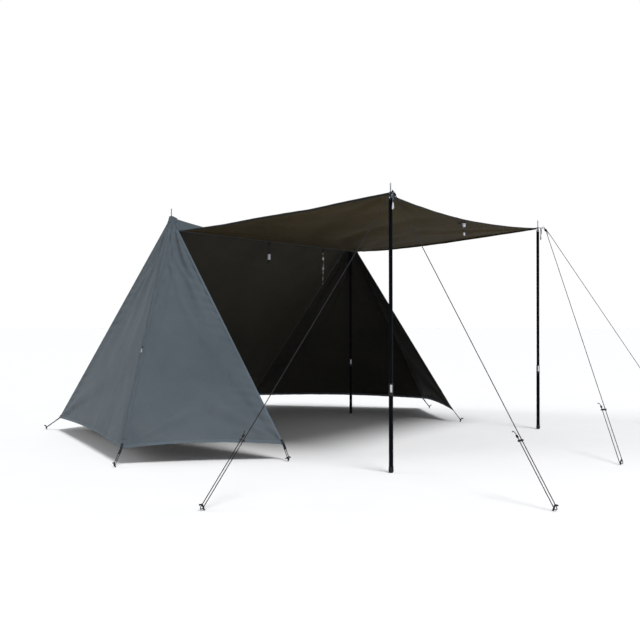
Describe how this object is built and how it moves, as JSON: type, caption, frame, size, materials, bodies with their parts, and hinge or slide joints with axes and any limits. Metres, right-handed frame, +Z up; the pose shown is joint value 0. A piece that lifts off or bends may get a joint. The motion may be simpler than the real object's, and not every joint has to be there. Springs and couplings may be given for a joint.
{
  "type": "frame tent",
  "caption": "A-frame pup tent with sloping back wall, pointed zipped end walls and a front panel raised on poles as an awning, held by guy lines and pegs.",
  "frame": {"origin": "middle of the near ridge pole foot, on the ground", "axes": "+X from the ridge towards the raised awning, +Y along the ridge from the near pole to the far pole, +Z up"},
  "size_m": [4.3188, 4.5801, 1.8179],
  "materials": {
    "tent_fabric": "matt woven canvas, slate blue-grey outside",
    "awning_fabric": "matt woven canvas, brown where light comes through",
    "seam_tape": "folded seam tape",
    "reinforcement": "doubled canvas",
    "webbing": "flat woven webbing",
    "zip_tape": "zip tape under a stitched cover",
    "zip_slider": "black coated slider",
    "pole_tube": "black satin coating",
    "lock_collar": "moulded, ribbed",
    "rubber_foot": "moulded rubber",
    "spike_steel": "brushed",
    "eyelet": "pressed ring",
    "cord": "braided cord",
    "tensioner": "moulded",
    "peg_steel": "black forged steel"
  },
  "bodies": {
    "tent_base": {"back_wall": "tent_fabric", "far_apex_cap": "reinforcement", "far_apex_eyelet": "eyelet", "far_awning_pole_foot": "rubber_foot", "far_awning_pole_lower_tube": "pole_tube", "far_end_back_panel": "tent_fabric", "far_end_front_panel": "tent_fabric", "far_front_guy_line": "cord", "far_ridge_pole_foot": "rubber_foot", "far_ridge_pole_lower_tube": "pole_tube", "far_ridge_pole_spike": "spike_steel", "far_ridge_pole_upper_tube": "pole_tube", "far_side_guy_line": "cord", "far_zip_tape": "zip_tape", "guy_pegs": "peg_steel", "hem_peg_cords": "cord", "hem_pegs": "peg_steel", "hem_webbing_loops": "webbing", "near_apex_cap": "reinforcement", "near_apex_eyelet": "eyelet", "near_awning_pole_foot": "rubber_foot", "near_awning_pole_lower_tube": "pole_tube", "near_end_back_panel": "tent_fabric", "near_end_front_panel": "tent_fabric", "near_front_guy_line": "cord", "near_ridge_pole_foot": "rubber_foot", "near_ridge_pole_lower_tube": "pole_tube", "near_ridge_pole_spike": "spike_steel", "near_ridge_pole_upper_tube": "pole_tube", "near_side_guy_line": "cord", "near_zip_tape": "zip_tape", "ridge_strip": "tent_fabric"},
    "awning_seam": {"awning_seam_tape": "seam_tape"},
    "awning_panel": {"front_panel": "awning_fabric"},
    "near_awning_pole_top": {"near_awning_pole_upper_tube": "pole_tube", "near_awning_pole_spike": "spike_steel", "near_awning_corner_tab": "webbing", "near_awning_eyelet": "eyelet", "near_guy_ring": "eyelet"},
    "far_awning_pole_top": {"far_awning_pole_upper_tube": "pole_tube", "far_awning_pole_spike": "spike_steel", "far_awning_corner_tab": "webbing", "far_awning_eyelet": "eyelet", "far_guy_ring": "eyelet"},
    "near_front_loop": {"near_front_loop": "webbing"},
    "middle_front_loop": {"middle_front_loop": "webbing"},
    "far_front_loop": {"far_front_loop": "webbing"},
    "short_rollup_tie": {"short_rollup_tie": "webbing"},
    "long_rollup_tie": {"long_rollup_tie": "webbing"},
    "near_side_tensioner": {"near_side_tensioner": "tensioner"},
    "near_front_tensioner": {"near_front_tensioner": "tensioner"},
    "far_side_tensioner": {"far_side_tensioner": "tensioner"},
    "far_front_tensioner": {"far_front_tensioner": "tensioner"},
    "near_awning_lock_collar": {"near_awning_pole_lock_collar": "lock_collar"},
    "near_ridge_lock_collar": {"near_ridge_pole_lock_collar": "lock_collar"},
    "far_awning_lock_collar": {"far_awning_pole_lock_collar": "lock_collar"},
    "far_ridge_lock_collar": {"far_ridge_pole_lock_collar": "lock_collar"},
    "near_zip_slider": {"near_zip_slider": "zip_slider"},
    "far_zip_slider": {"far_zip_slider": "zip_slider"}
  },
  "joints": [
    {"name": "awning_height", "type": "slide", "parent": "tent_base", "child": "near_awning_pole_top", "axis": [0, 0, 1], "range_m": [-0.2, 0], "deforming": ["near_side_guy_line", "near_front_guy_line"]},
    {"name": "awning_height_far", "type": "slide", "parent": "tent_base", "child": "far_awning_pole_top", "axis": [0, 0, 1], "range_m": [-0.2, 0], "deforming": ["far_side_guy_line", "far_front_guy_line"]},
    {"name": "awning_tilt", "type": "hinge", "parent": "tent_base", "child": "awning_seam", "pos_m": [0.07142, 1.12, 1.4965], "axis": [0, 1, 0], "range_deg": [0, 6.73]},
    {"name": "awning_close", "type": "hinge", "parent": "awning_seam", "child": "awning_panel", "pos_m": [0.07142, 1.12, 1.4965], "axis": [0, 1, 0], "range_deg": [0, 58.5]},
    {"name": "front_loop_swing_near", "type": "hinge", "parent": "near_awning_pole_top", "child": "near_front_loop", "pos_m": [1.822, -0.008, 1.5948], "axis": [0, -1, 0], "range_deg": [-5, 35]},
    {"name": "front_loop_swing_middle", "type": "hinge", "parent": "awning_panel", "child": "middle_front_loop", "pos_m": [1.70848, 1.12, 1.54602], "axis": [0, -1, 0], "range_deg": [-25, 58]},
    {"name": "front_loop_swing_far", "type": "hinge", "parent": "far_awning_pole_top", "child": "far_front_loop", "pos_m": [1.822, 2.248, 1.5948], "axis": [0, -1, 0], "range_deg": [-5, 35]},
    {"name": "tie_swing_short", "type": "hinge", "parent": "tent_base", "child": "short_rollup_tie", "pos_m": [0.07142, 0.98, 1.491], "axis": [0, 1, 0], "range_deg": [-25, 40]},
    {"name": "tie_swing_long", "type": "hinge", "parent": "tent_base", "child": "long_rollup_tie", "pos_m": [0.07142, 1.71, 1.491], "axis": [0, 1, 0], "range_deg": [-25, 40]},
    {"name": "guy_tension_near_side", "type": "slide", "parent": "tent_base", "child": "near_side_tensioner", "axis": [-0.1285, -0.6122, -0.7802], "range_m": [0, 0.2]},
    {"name": "guy_tension_near_front", "type": "slide", "parent": "tent_base", "child": "near_front_tensioner", "axis": [0.5434, -0.1545, -0.8251], "range_m": [0, 0.2]},
    {"name": "guy_tension_far_side", "type": "slide", "parent": "tent_base", "child": "far_side_tensioner", "axis": [0.3753, 0.4891, -0.7874], "range_m": [0, 0.2]},
    {"name": "guy_tension_far_front", "type": "slide", "parent": "tent_base", "child": "far_front_tensioner", "axis": [0.4269, -0.5622, -0.7083], "range_m": [0, 0.2]},
    {"name": "lock_twist_near_awning", "type": "hinge", "parent": "tent_base", "child": "near_awning_lock_collar", "pos_m": [1.8, 0, 0.475], "axis": [0, 0, 1], "range_deg": [0, 90]},
    {"name": "lock_twist_near_ridge", "type": "hinge", "parent": "tent_base", "child": "near_ridge_lock_collar", "pos_m": [0, 0, 0.475], "axis": [0, 0, 1], "range_deg": [0, 90]},
    {"name": "lock_twist_far_awning", "type": "hinge", "parent": "tent_base", "child": "far_awning_lock_collar", "pos_m": [1.8, 2.24, 0.475], "axis": [0, 0, 1], "range_deg": [0, 90]},
    {"name": "lock_twist_far_ridge", "type": "hinge", "parent": "tent_base", "child": "far_ridge_lock_collar", "pos_m": [0, 2.24, 0.475], "axis": [0, 0, 1], "range_deg": [0, 90]},
    {"name": "zip_open_near", "type": "slide", "parent": "tent_base", "child": "near_zip_slider", "axis": [-0.2048, 0.433, 0.8778], "range_m": [-0.6, 0.85]},
    {"name": "zip_open_far", "type": "slide", "parent": "tent_base", "child": "far_zip_slider", "axis": [-0.2048, -0.433, 0.8778], "range_m": [-0.6, 0.85]}
  ],
  "couplings": [
    {"joint": "awning_height_far", "follows": "awning_height", "ratio": 1},
    {"joint": "awning_tilt", "follows": "awning_height", "rad_per_m": -0.57851}
  ]
}
